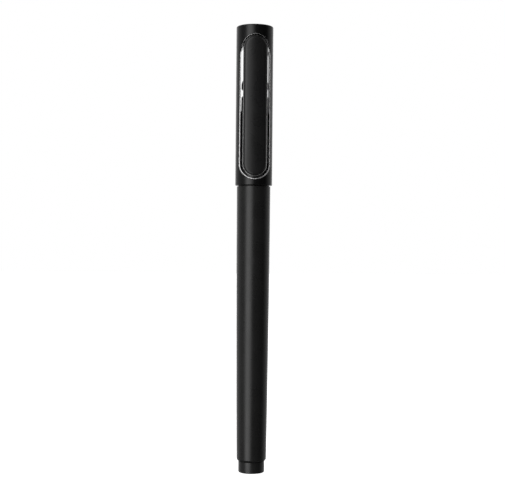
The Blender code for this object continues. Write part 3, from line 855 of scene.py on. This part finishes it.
SPRING_WIRE_R = 0.2
SPRING_TURNS = 4.5
SPRING_STEPS = 150
SPRING_SLACK = 0.01
WIRE_SIDES = 12


def window_heights():
    """The centres of the window's two arcs, from the cap's rim."""
    rim = span("cap_shell")[0]
    return rim + WINDOW_LOW, rim + WINDOW_HIGH


def front_outline():
    """The opening in the cap's front, the window with the clip's seat above it.

    Each point is (x, z, bead), where bead is the radius of the trim's bead there.
    """
    low, high = window_heights()
    clip_high, clip_r = span("cap_clip")[1:]
    seat_r = clip_r + SEAT_GAP
    seat_z = clip_high - clip_r
    meet = math.acos(seat_r / WINDOW_R)
    half = WINDOW_ARC_STEPS // 2
    arcs = [
        (seat_r, seat_z, 0.0, math.pi, SEAT_ARC_STEPS, TRIM_FINE, TRIM_FINE),
        (WINDOW_R, high, math.pi - meet, math.pi, MEET_ARC_STEPS, TRIM_FINE, TRIM_SLIM),
        (WINDOW_R, low, math.pi, 1.5 * math.pi, half, TRIM_WIDE, TRIM_LOW),
        (WINDOW_R, low, 1.5 * math.pi, 2.0 * math.pi, half, TRIM_LOW, TRIM_WIDE),
        (WINDOW_R, high, 0.0, meet, MEET_ARC_STEPS, TRIM_SLIM, TRIM_FINE),
    ]
    corners = []
    for radius, centre, first, last, count, bead, next_bead in arcs:
        for i in range(count + 1):
            share = i / count
            angle = first + (last - first) * share
            x = radius * math.cos(angle)
            z = centre + radius * math.sin(angle)
            corners.append((x, z, bead + (next_bead - bead) * share))
    return divide(corners, OUTLINE_STEP)


def divide(corners, longest):
    """Split an outline's long runs into steps no longer than a given length."""
    outline = []
    for i, (x, z, bead) in enumerate(corners):
        next_x, next_z, next_bead = corners[(i + 1) % len(corners)]
        length = math.hypot(next_x - x, next_z - z)
        if length < 1e-4:
            continue
        steps = max(1, math.ceil(length / longest))
        for k in range(steps):
            share = k / steps
            step = (next_x - x, next_z - z, next_bead - bead)
            outline.append((x + step[0] * share, z + step[1] * share, bead + step[2] * share))
    return outline


def make_window_trim(looks):
    """The polished bead round the opening's front edge, fine above and wide below."""
    cap_r = span("cap_shell")[2]
    outline = front_outline()
    path = []
    beads = []
    for i, (x, z, bead) in enumerate(outline):
        before = outline[i - 1]
        after = outline[(i + 1) % len(outline)]
        along = Vector((after[0] - before[0], after[1] - before[1])).normalized()
        out_x = x + along.y * bead * TRIM_OUT
        out_z = z - along.x * bead * TRIM_OUT
        path.append((out_x, bead * TRIM_DEPTH - math.sqrt(cap_r**2 - out_x**2), out_z))
        beads.append(bead)
    trim = tube_along("window_trim", path, beads, TRIM_SIDES)
    trim.data.materials.append(looks["edge"])
    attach(trim, "cap")


def window_prism(name):
    """The window as a cutter, right through the cap."""
    low, high = window_heights()
    reach = span("cap_shell")[2] + CUTTER_REACH
    outline = stadium(WINDOW_R, low, high, WINDOW_ARC_STEPS, WINDOW_SIDE_STEPS)
    return prism(name, outline, -reach, reach)


def seat_prism(name):
    """The clip's seat as a cutter, from the cap's front to behind the clip."""
    high = window_heights()[1]
    clip_high, clip_r = span("cap_clip")[1:]
    radius = clip_r + SEAT_GAP
    outline = stadium(radius, high - SEAT_DROP, clip_high - clip_r, SEAT_ARC_STEPS, SEAT_SIDE_STEPS)
    return prism(name, outline, -span("cap_shell")[2] - CUTTER_REACH, SEAT_Y)


def make_cap_shell(looks):
    """The cap's tube and top, with the window and the clip's seat cut out."""
    z0, z1, radius = span("cap_shell")
    ceiling = z1 - CAP_CEILING
    points = [
        (0.0, z1),
        (radius, z1, CAP_TOP_FILLET),
        (radius, z0, CAP_RIM_FILLET),
        (CAP_BORE_R, z0 + CAP_RIM_DEPTH, 0.05),
        (CAP_BORE_R, ceiling, 0.2),
        (0.0, ceiling),
    ]
    shell = lathe("cap_shell_fine", points, CAP_STEPS)
    shell.data.materials.append(looks["cap"])
    for cutter in (window_prism("window"), seat_prism("clip_seat")):
        cutter.data.materials.append(looks["cap"])
        cut(shell, cutter, "DIFFERENCE")
    settle(shell, looks["cap"], "cap", "cap_shell")


def make_cap_core(looks):
    """The insert under the cap's top, with a slot for the clip's root."""
    z0, z1, radius = span("cap_core")
    points = [(0.0, z1), (radius, z1, 0.1), (radius, z0, 0.1), (0.0, z0)]
    core = lathe("cap_core_fine", points)
    cut(core, window_prism("core_window"), "DIFFERENCE")
    cut(core, seat_prism("core_seat"), "DIFFERENCE")
    (root_x, root_y), (low, high) = CLIP_ROOT
    corner = (-root_x - SLOT_GAP, -radius - CUTTER_REACH, low - SLOT_GAP)
    slot = brick("core_slot", corner, (root_x + SLOT_GAP, SLOT_GAP - root_y, high + SLOT_GAP))
    cut(core, slot, "DIFFERENCE")
    settle(core, looks["gloss"], "cap", "cap_core")


def make_inner_cap(looks):
    """The liner: a sleeve with a waisted dome that leans a little to the right."""
    z0, z1, radius = span("inner_cap")
    shoulder = z0 + SHOULDER
    dome_z = z1 - DOME_HEIGHT
    dome = [(0.0, z1)]
    for i in range(1, DOME_STEPS + 1):
        angle = math.radians(90.0 - 90.0 * i / DOME_STEPS)
        dome.append((DOME_R * math.cos(angle), dome_z + (z1 - dome_z) * math.sin(angle)))
    points = [
        *dome,
        (DOME_R, z1 - WAIST[0], 0.25),
        (WAIST_R, z1 - WAIST[1], 0.25),
        (WAIST_R, z1 - WAIST[2], 0.25),
        (DOME_R, z1 - WAIST[3], 0.25),
        (SHOULDER_R, shoulder + SHOULDER_RISE, 0.5),
        (radius, shoulder, 0.5),
        (radius, z0, 0.1),
        (LINER_BORE_R, z0, 0.08),
        (LINER_BORE_R, shoulder - LINER_BORE_TAPER, 0.2),
        (LINER_STOP_R, shoulder, 0.1),
        (LINER_STOP_R, shoulder + LINER_STOP[0], 0.05),
        (LINER_WELL_R, shoulder + LINER_STOP[1], 0.05),
        (LINER_WELL_R, z1 - LINER_WELL_DEPTH, 0.4),
        (LINER_CROWN_R, z1 - LINER_CROWN[0], 0.4),
        (0.0, z1 - LINER_CROWN[1]),
    ]
    liner = lathe("inner_cap_fine", points)
    for vert in liner.data.vertices:
        outside = math.hypot(vert.co.x, vert.co.y) > DOME_LEAN_R * MM
        if outside and vert.co.z > (shoulder + 1.0) * MM:
            vert.co.x += DOME_LEAN * MM
    settle(liner, looks["liner"], "cap", "inner_cap")


def make_plunger(looks):
    """The cup that closes the nib's air space, and the rubber lip on its mouth."""
    z0, z1, radius = span("seal_plunger")
    skirt = radius - SKIRT_STEP
    head_low, skirt_top = PLUNGER_HEAD
    points = [
        (0.0, z1),
        (radius, z1, 0.25),
        (radius, z1 - head_low, 0.06),
        (skirt, z1 - skirt_top, 0.06),
        (skirt, z0, 0.06),
        (PLUNGER_BORE_R, z0, 0.06),
        (PLUNGER_BORE_R, z1 - PLUNGER_CROWN, 0.3),
        (0.0, z1 - PLUNGER_CROWN),
    ]
    settle(lathe("seal_plunger_fine", points, INSIDE), looks["nib"], "plunger", "seal_plunger")
    low, high, lip_r = span("seal_lip")
    points = [
        (PLUNGER_BORE_R, high, 0.04),
        (lip_r, high, 0.04),
        (lip_r, low, 0.2),
        (PLUNGER_BORE_R, low, 0.12),
    ]
    settle(lathe("seal_lip_fine", points, INSIDE), looks["rubber"], "plunger", "seal_lip")


def make_spring(looks):
    """The seal's coil spring, which shortens as the plunger goes in."""
    z0, z1, outer = span("seal_spring")
    wire = SPRING_WIRE_R
    radius = outer - wire
    path = []
    for i in range(SPRING_STEPS + 1):
        share = i / SPRING_STEPS
        angle = 2.0 * math.pi * SPRING_TURNS * share
        z = z0 + wire + (z1 - z0 - 2.0 * wire) * share
        path.append((radius * math.cos(angle), radius * math.sin(angle), z))
    wires = [wire - SPRING_SLACK] * len(path)
    spring = tube_along("seal_spring_fine", path, wires, WIRE_SIDES, closed=False)
    settle(spring, looks["spring"], "cap", "seal_spring")
    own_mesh(spring)


# ---- clip --------------------------------------------------------------------------

CLIP_CROWN_R = 13.0
CLIP_BACK_Y = -4.4
CLIP_HOLLOW_R = 5.15
CLIP_ROOT = ((1.5, 1.4), (137.5, 138.2))
CLIP_ROOT_LAP = 0.3
CLIP_SMOOTH_ANGLE = 34.0
CLIP_ARC_STEPS = 40
CLIP_SIDE_STEPS = 30
CLIP_COLUMNS = 14
CLIP_BORDER = [(0.0, 0.95), (0.04, 0.50, 0.04), (0.28, 0.46, 0.05), (0.58, 0.07, 0.14), (0.90, 0.0)]
CLIP_LINE = (0.10, 0.46)
CLIP_LINE_R = (0.02, 0.10)
CLIP_LINE_Z = (122.0, 126.0)


def make_clip(looks):
    """A crowned racetrack tongue with a bevelled border, and its root."""
    low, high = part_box("cap_clip")
    clip_r = high[0] / MM
    z_low = low[2] / MM + clip_r
    z_high = high[2] / MM - clip_r
    crest = low[1] / MM

    def crown(x):
        return crest + CLIP_CROWN_R - math.sqrt(CLIP_CROWN_R**2 - x**2)

    shape = bmesh.new()
    outline = stadium(clip_r, z_low, z_high, CLIP_ARC_STEPS, CLIP_SIDE_STEPS)
    rings = [[shape.verts.new((x * MM, CLIP_BACK_Y * MM, z * MM)) for x, z in outline]]
    for inset, drop in soften(CLIP_BORDER, False):
        outline = stadium(clip_r - inset, z_low, z_high, CLIP_ARC_STEPS, CLIP_SIDE_STEPS)
        ring = [shape.verts.new((x * MM, (crown(x) + drop) * MM, z * MM)) for x, z in outline]
        rings.append(ring)
    for first, second in zip(rings, rings[1:]):
        bridge(shape, first, second)
    fill_face(shape, rings[-1], crown)
    shape.faces.new(rings[0])
    clip = finish_mesh("cap_clip_fine", shape, CLIP_SMOOTH_ANGLE)
    clip.data.materials.append(looks["clip"])

    foot = z_low - (clip_r + CUTTER_REACH)
    outline = [(0.0, z_high), (CLIP_HOLLOW_R, z_high), (CLIP_HOLLOW_R, foot), (0.0, foot)]
    hollow = lathe("clip_hollow", outline)
    hollow.data.materials.append(looks["clip"])
    cut(clip, hollow, "DIFFERENCE")
    (root_x, root_y), (root_low, root_high) = CLIP_ROOT
    corner = (-root_x, CLIP_BACK_Y - CLIP_ROOT_LAP, root_low)
    root = brick("clip_root", corner, (root_x, -root_y, root_high))
    root.data.materials.append(looks["clip"])
    cut(clip, root, "UNION")
    settle(clip, looks["clip"], "clip", "cap_clip")
    inset, drop = CLIP_LINE
    outline = stadium(clip_r - inset, z_low, z_high, CLIP_ARC_STEPS, CLIP_SIDE_STEPS)
    # A thin grey metal line along the clip's border: a painted highlight where the border catches
    # light.
    line = tube_along(
        "clip_edge_line",
        [(x, crown(x) + drop, z) for x, z in outline],
        [line_radius(z) for x, z in outline],
        WIRE_SIDES,
    )
    line.data.materials.append(looks["clip_edge"])
    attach(line, "clip")


def line_radius(z):
    """The clip's painted highlight line thins out towards the clip's root."""
    fine, wide = CLIP_LINE_R
    low, high = CLIP_LINE_Z
    share = min(1.0, max(0.0, (z - low) / (high - low)))
    return wide + (fine - wide) * share


def fill_face(shape, ring, crown):
    """Close a racetrack ring with rows that follow the crown."""
    count = len(ring)
    half = count // 2
    top = CLIP_ARC_STEPS // 2
    previous = None
    for k in range(half + 1):
        right = ring[(top - k) % count]
        left = ring[(top + k) % count]
        if right is left:
            row = [right]
        else:
            row = [left]
            for c in range(1, CLIP_COLUMNS):
                point = left.co.lerp(right.co, c / CLIP_COLUMNS)
                point.y = crown(point.x / MM) * MM
                row.append(shape.verts.new(point))
            row.append(right)
        if previous is not None:
            join_rows(shape, previous, row)
        previous = row


def join_rows(shape, upper, lower):
    """Faces between two rows; a row of one vertex is a tip."""
    if len(upper) == 1 or len(lower) == 1:
        tip, row = (upper[0], lower) if len(upper) == 1 else (lower[0], upper)
        for first, second in zip(row, row[1:]):
            shape.faces.new((tip, first, second))
        return
    for i in range(len(upper) - 1):
        shape.faces.new((upper[i], upper[i + 1], lower[i + 1], lower[i]))


# ---- stage, light and camera ---------------------------------------------------------

CAMERA_AZIMUTH = -3.3
CAMERA_SIDE = -0.00018
CAMERA_ROLL = 0.5
CAMERA_DISTANCE = 0.360
CAMERA_HEIGHT = 0.0708
CAMERA_LENS = 80.34
CAMERA_SENSOR = 36.0
FLOOR_SIZE = 3.0
FLOOR_DROP = 0.0002
LIGHT_SCALE = 2.4
CEILING_LIGHT = 0.4
CEILING_FADE = (0.6, 0.9)
FLOOR_LIGHT = 0.06
FLOOR_FADE = (-0.35, -0.6)


def make_camera():
    """The camera, level with the pen's middle and a little off its front."""
    camera = bpy.data.objects.new("camera", bpy.data.cameras.new("camera"))
    bpy.context.scene.collection.objects.link(camera)
    bpy.context.scene.camera = camera
    azimuth = math.radians(CAMERA_AZIMUTH)
    back = Vector((math.sin(azimuth), -math.cos(azimuth), 0.0))
    side = Vector((math.cos(azimuth), math.sin(azimuth), 0.0))
    camera.location = back * CAMERA_DISTANCE + side * CAMERA_SIDE + Vector((0.0, 0.0, CAMERA_HEIGHT))
    aim = (-back).to_track_quat("-Z", "Y").to_matrix()
    roll = Matrix.Rotation(math.radians(CAMERA_ROLL), 3, "Z")
    camera.rotation_euler = (aim @ roll).to_euler()
    camera.data.sensor_width = CAMERA_SENSOR
    camera.data.lens = CAMERA_LENS
    camera.data.clip_start = 0.01
    camera.data.clip_end = 20.0


def make_floor():
    """A pale floor that reads as plain white, and stays out of reflections."""
    shape = bmesh.new()
    bmesh.ops.create_grid(shape, x_segments=1, y_segments=1, size=FLOOR_SIZE)
    mesh = bpy.data.meshes.new("floor")
    shape.to_mesh(mesh)
    shape.free()
    floor = bpy.data.objects.new("floor", mesh)
    bpy.context.scene.collection.objects.link(floor)
    floor.location.z = min(0.0, cad_low[2]) - FLOOR_DROP
    material = bpy.data.materials.new("floor_white")
    material.use_nodes = True
    shader = material.node_tree.nodes["Principled BSDF"]
    shader.inputs["Base Color"].default_value = (0.9, 0.9, 0.9, 1.0)
    shader.inputs["Roughness"].default_value = 1.0
    shader.inputs["Specular IOR Level"].default_value = 0.0
    shader.inputs["Emission Color"].default_value = (1.0, 1.0, 1.0, 1.0)
    shader.inputs["Emission Strength"].default_value = 1.0
    mesh.materials.append(material)
    floor.visible_glossy = False
    floor.visible_diffuse = False
    floor.visible_shadow = False


def make_light():
    """A studio all round: white behind the pen, dark in front, one tall soft strip."""
    world = bpy.data.worlds.new("studio")
    bpy.context.scene.world = world
    world.use_nodes = True
    nodes = world.node_tree.nodes
    links = world.node_tree.links
    nodes.clear()
    coords = nodes.new("ShaderNodeTexCoord").outputs["Generated"]
    axes = nodes.new("ShaderNodeSeparateXYZ")
    links.new(coords, axes.inputs["Vector"])
    turn = math.radians(CAMERA_AZIMUTH)
    sideways = combine(nodes, links, axes, math.cos(turn), math.sin(turn))
    forward = combine(nodes, links, axes, math.sin(turn), -math.cos(turn))
    angle = nodes.new("ShaderNodeMath")
    angle.operation = "ARCTAN2"
    links.new(sideways, angle.inputs[0])
    links.new(forward, angle.inputs[1])
    share = nodes.new("ShaderNodeMapRange")
    share.inputs["From Min"].default_value = -math.pi
    share.inputs["From Max"].default_value = math.pi
    links.new(angle.outputs[0], share.inputs["Value"])
    ramp = nodes.new("ShaderNodeValToRGB")
    links.new(share.outputs["Result"], ramp.inputs["Fac"])
    fill_ramp(ramp.color_ramp)
    color = ramp.outputs["Color"]
    for reach, level in ((CEILING_FADE, CEILING_LIGHT), (FLOOR_FADE, FLOOR_LIGHT)):
        color = blend_height(nodes, links, axes.outputs["Z"], color, reach, level / LIGHT_SCALE)
    lit = nodes.new("ShaderNodeBackground")
    lit.inputs["Strength"].default_value = LIGHT_SCALE
    links.new(color, lit.inputs["Color"])
    plain = nodes.new("ShaderNodeBackground")
    plain.inputs["Color"].default_value = (1.0, 1.0, 1.0, 1.0)
    ray = nodes.new("ShaderNodeLightPath")
    mix = nodes.new("ShaderNodeMixShader")
    links.new(ray.outputs["Is Camera Ray"], mix.inputs["Fac"])
    links.new(lit.outputs[0], mix.inputs[1])
    links.new(plain.outputs[0], mix.inputs[2])
    output = nodes.new("ShaderNodeOutputWorld")
    links.new(mix.outputs[0], output.inputs["Surface"])


def blend_height(nodes, links, height, color, reach, level):
    """Fade a colour to a plain level as the direction's height goes from reach[0] to reach[1]."""
    fade = nodes.new("ShaderNodeMapRange")
    fade.interpolation_type = "SMOOTHSTEP"
    fade.inputs["From Min"].default_value = reach[0]
    fade.inputs["From Max"].default_value = reach[1]
    links.new(height, fade.inputs["Value"])
    mix = nodes.new("ShaderNodeMix")
    mix.data_type = "RGBA"
    mix.inputs["B"].default_value = (level, level, level, 1.0)
    links.new(fade.outputs["Result"], mix.inputs["Factor"])
    links.new(color, mix.inputs["A"])
    return mix.outputs["Result"]


def combine(nodes, links, axes, x_share, y_share):
    """x * x_share + y * y_share of a direction."""
    first = nodes.new("ShaderNodeMath")
    first.operation = "MULTIPLY"
    first.inputs[1].default_value = x_share
    links.new(axes.outputs["X"], first.inputs[0])
    second = nodes.new("ShaderNodeMath")
    second.operation = "MULTIPLY_ADD"
    second.inputs[1].default_value = y_share
    links.new(axes.outputs["Y"], second.inputs[0])
    links.new(first.outputs[0], second.inputs[2])
    return second.outputs[0]


def fill_ramp(ramp):
    """Brightness round the pen; 0 degrees is where the camera stands."""
    stops = [
        (-180, 1.0), (-155, 0.9), (-133, 0.6), (-118, 0.42), (-105, 0.34), (-95, 0.24),
        (-84, 0.17), (-66, 0.16), (-58, 0.3), (-50, 1.3), (-42, 2.3), (-33, 2.35),
        (-26, 2.2), (-18, 1.75), (-10, 0.95), (-5, 0.38), (0, 0.06), (4, 0.0),
        (80, 0.0), (90, 0.12), (100, 0.26), (112, 0.38), (133, 0.5), (155, 0.8), (180, 1.0),
    ]
    while len(ramp.elements) > 1:
        ramp.elements.remove(ramp.elements[-1])
    for index, (degrees, light) in enumerate(stops):
        place = (degrees + 180.0) / 360.0
        stop = ramp.elements[0] if index == 0 else ramp.elements.new(place)
        stop.position = place
        value = light / LIGHT_SCALE
        stop.color = (value, value, value, 1.0)


def main():
    """Make every piece, then the floor and the light."""
    make_camera()
    looks = make_materials()
    make_barrel(looks)
    make_end_plug(looks)
    make_section(looks)
    make_colour_ring(looks)
    make_nib(looks)
    make_weight(looks)
    make_cartridge(looks)
    make_cap_shell(looks)
    make_window_trim(looks)
    make_cap_core(looks)
    make_inner_cap(looks)
    make_plunger(looks)
    make_spring(looks)
    make_clip(looks)
    make_floor()
    make_light()
    bpy.context.scene.view_settings.view_transform = "Standard"


main()
